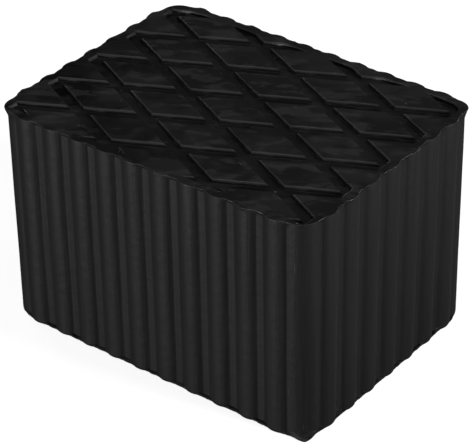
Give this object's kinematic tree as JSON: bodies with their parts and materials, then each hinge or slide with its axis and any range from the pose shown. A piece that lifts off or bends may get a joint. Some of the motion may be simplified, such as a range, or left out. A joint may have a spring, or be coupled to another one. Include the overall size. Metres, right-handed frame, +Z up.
{
  "type": "jack rubber pad",
  "caption": "Solid moulded rubber block with fluted walls and a diamond tread on its load face, put between a jack or lift arm and a vehicle.",
  "frame": {"origin": "centre of the underside, on the surface that the block stands on", "axes": "+X along the length, +Y along the width, +Z up, out of the treaded load face"},
  "size_m": [0.16, 0.12, 0.1015],
  "materials": {
    "black_rubber": "compression-moulded black rubber, dull satin, with fine flash at the edges"
  },
  "bodies": {
    "root": {"rubber_pad": "black_rubber"}
  },
  "joints": []
}
